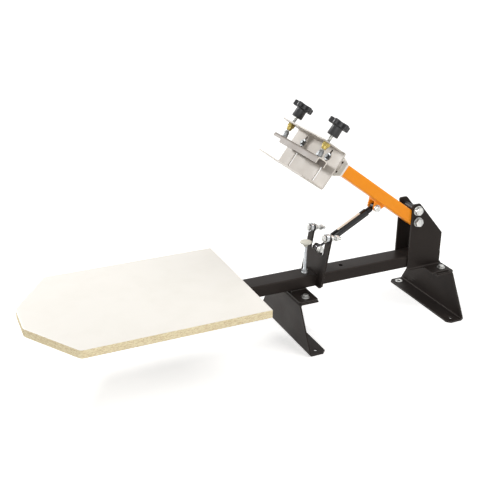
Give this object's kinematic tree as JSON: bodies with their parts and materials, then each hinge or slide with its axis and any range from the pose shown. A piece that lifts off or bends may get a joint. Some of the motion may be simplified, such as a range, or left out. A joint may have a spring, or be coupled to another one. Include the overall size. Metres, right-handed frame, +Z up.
{
  "type": "tabletop screen printing press",
  "caption": "Bench screen printing press: shaped pallet on a tube frame, gas-sprung print arm with an adjustable screen clamp, registration gate and down stop.",
  "frame": {"origin": "centre of the four bench bolt holes, on the bench surface", "axes": "+Z up, -X to the front where the pallet is, +Y to the side away from the picture's camera"},
  "size_m": [1.0558, 0.35, 0.5508],
  "materials": {
    "black_coat": "textured powder coat, semi-matt",
    "black_plastic": "moulded, satin",
    "orange_coat": "smooth powder coat, satin",
    "grey_coat": "smooth powder coat, satin",
    "melamine_board": "white melamine face over bare particle board edges",
    "zinc_steel": "bright zinc plate",
    "bearing_steel": "ground bearing steel",
    "black_steel": "black enamel, semi-gloss",
    "rod_chrome": "hard chrome, polished",
    "brass": "turned brass",
    "stop_rubber": "moulded pale rubber"
  },
  "bodies": {
    "base": {"base_tube": "black_coat", "tube_plugs": "black_plastic", "front_leg": "black_coat", "rear_leg": "black_coat", "front_saddle": "black_coat", "rear_saddle": "black_coat", "tube_pads": "black_coat", "leg_bolts": "zinc_steel", "leg_washers": "zinc_steel", "leg_nuts": "zinc_steel", "pallet": "melamine_board", "pallet_plate": "black_coat", "pallet_screws": "zinc_steel", "upright_near": "black_coat", "upright_far": "black_coat", "pivot_bolt": "zinc_steel", "up_stop_bolt": "zinc_steel", "cross_bolt_washers": "zinc_steel", "cross_bolt_nuts": "zinc_steel", "up_stop_sleeve": "black_steel", "registration_gate": "black_coat", "roller_bolts": "zinc_steel", "roller_nuts": "zinc_steel", "spring_bracket": "black_coat", "spring_base_bolt": "zinc_steel", "spring_base_nut": "zinc_steel", "stop_nut": "zinc_steel"},
    "arm": {"arm_tube": "orange_coat", "arm_bush": "zinc_steel", "arm_plug": "black_plastic", "arm_end_plate": "grey_coat", "spring_lug": "orange_coat", "spring_top_bolt": "zinc_steel", "spring_top_nut": "zinc_steel", "head_link": "zinc_steel", "head_bracket": "grey_coat", "slot_bolts": "zinc_steel", "slot_nuts": "zinc_steel", "slot_washers": "zinc_steel"},
    "clamp": {"clamp_frame": "grey_coat", "clamp_bushes": "brass"},
    "bar": {"pressing_bar": "grey_coat"},
    "knob_near": {"knob_near": "black_plastic", "clamp_screw_near": "zinc_steel", "dome_nut_near": "zinc_steel"},
    "knob_far": {"knob_far": "black_plastic", "clamp_screw_far": "zinc_steel", "dome_nut_far": "zinc_steel"},
    "gas_cylinder": {"spring_cylinder": "black_steel", "spring_fitting": "black_steel"},
    "gas_rod": {"spring_rod": "rod_chrome"},
    "roller_near": {"roller_near": "bearing_steel"},
    "roller_far": {"roller_far": "bearing_steel"},
    "down_stop": {"stop_rod": "zinc_steel", "stop_cap": "stop_rubber"}
  },
  "joints": [
    {"name": "arm_hinge", "type": "hinge", "parent": "base", "child": "arm", "pos_m": [0.1278, 0, 0.2428], "axis": [0, 1, 0], "range_deg": [-36.8, 0], "stiffness_Nm_per_rad": 5, "springref_deg": 108.86},
    {"name": "clamp_height", "type": "slide", "parent": "arm", "child": "clamp", "axis": [0.599, 0, 0.8007], "range_m": [-0.01, 0.01]},
    {"name": "bar_slide", "type": "slide", "parent": "clamp", "child": "bar", "axis": [0.599, 0, 0.8007], "range_m": [-0.0125, 0.0025]},
    {"name": "knob_near_turn", "type": "hinge", "parent": "bar", "child": "knob_near", "pos_m": [-0.18304, -0.081, 0.47534], "axis": [0.599, 0, 0.8007], "range_deg": [-3610, 730]},
    {"name": "knob_far_turn", "type": "hinge", "parent": "bar", "child": "knob_far", "pos_m": [-0.18304, 0.081, 0.47534], "axis": [0.599, 0, 0.8007], "range_deg": [-3610, 730]},
    {"name": "gas_cylinder_pivot", "type": "hinge", "parent": "arm", "child": "gas_cylinder", "pos_m": [0.01594, 0, 0.29026], "axis": [0, 1, 0], "range_deg": [-0.5, 64]},
    {"name": "gas_rod_pivot", "type": "hinge", "parent": "base", "child": "gas_rod", "pos_m": [-0.1333, 0, 0.208], "axis": [0, 1, 0], "range_deg": [-0.5, 27.5]},
    {"name": "roller_near_spin", "type": "hinge", "parent": "base", "child": "roller_near", "pos_m": [-0.13368, -0.0375, 0.24666], "axis": [0.9863, 0, -0.165], "continuous": true},
    {"name": "roller_far_spin", "type": "hinge", "parent": "base", "child": "roller_far", "pos_m": [-0.13368, 0.0375, 0.24666], "axis": [0.9863, 0, -0.165], "continuous": true},
    {"name": "down_stop_height", "type": "slide", "parent": "base", "child": "down_stop", "axis": [0, 0, 1], "range_m": [-0.012, 0]}
  ],
  "couplings": [
    {"joint": "knob_near_turn", "follows": "bar_slide", "rad_per_m": 5026.5},
    {"joint": "knob_far_turn", "follows": "bar_slide", "rad_per_m": 5026.5},
    {"joint": "gas_cylinder_pivot", "follows": "arm_hinge", "ratio": -1.695},
    {"joint": "gas_rod_pivot", "follows": "arm_hinge", "ratio": -0.695}
  ]
}
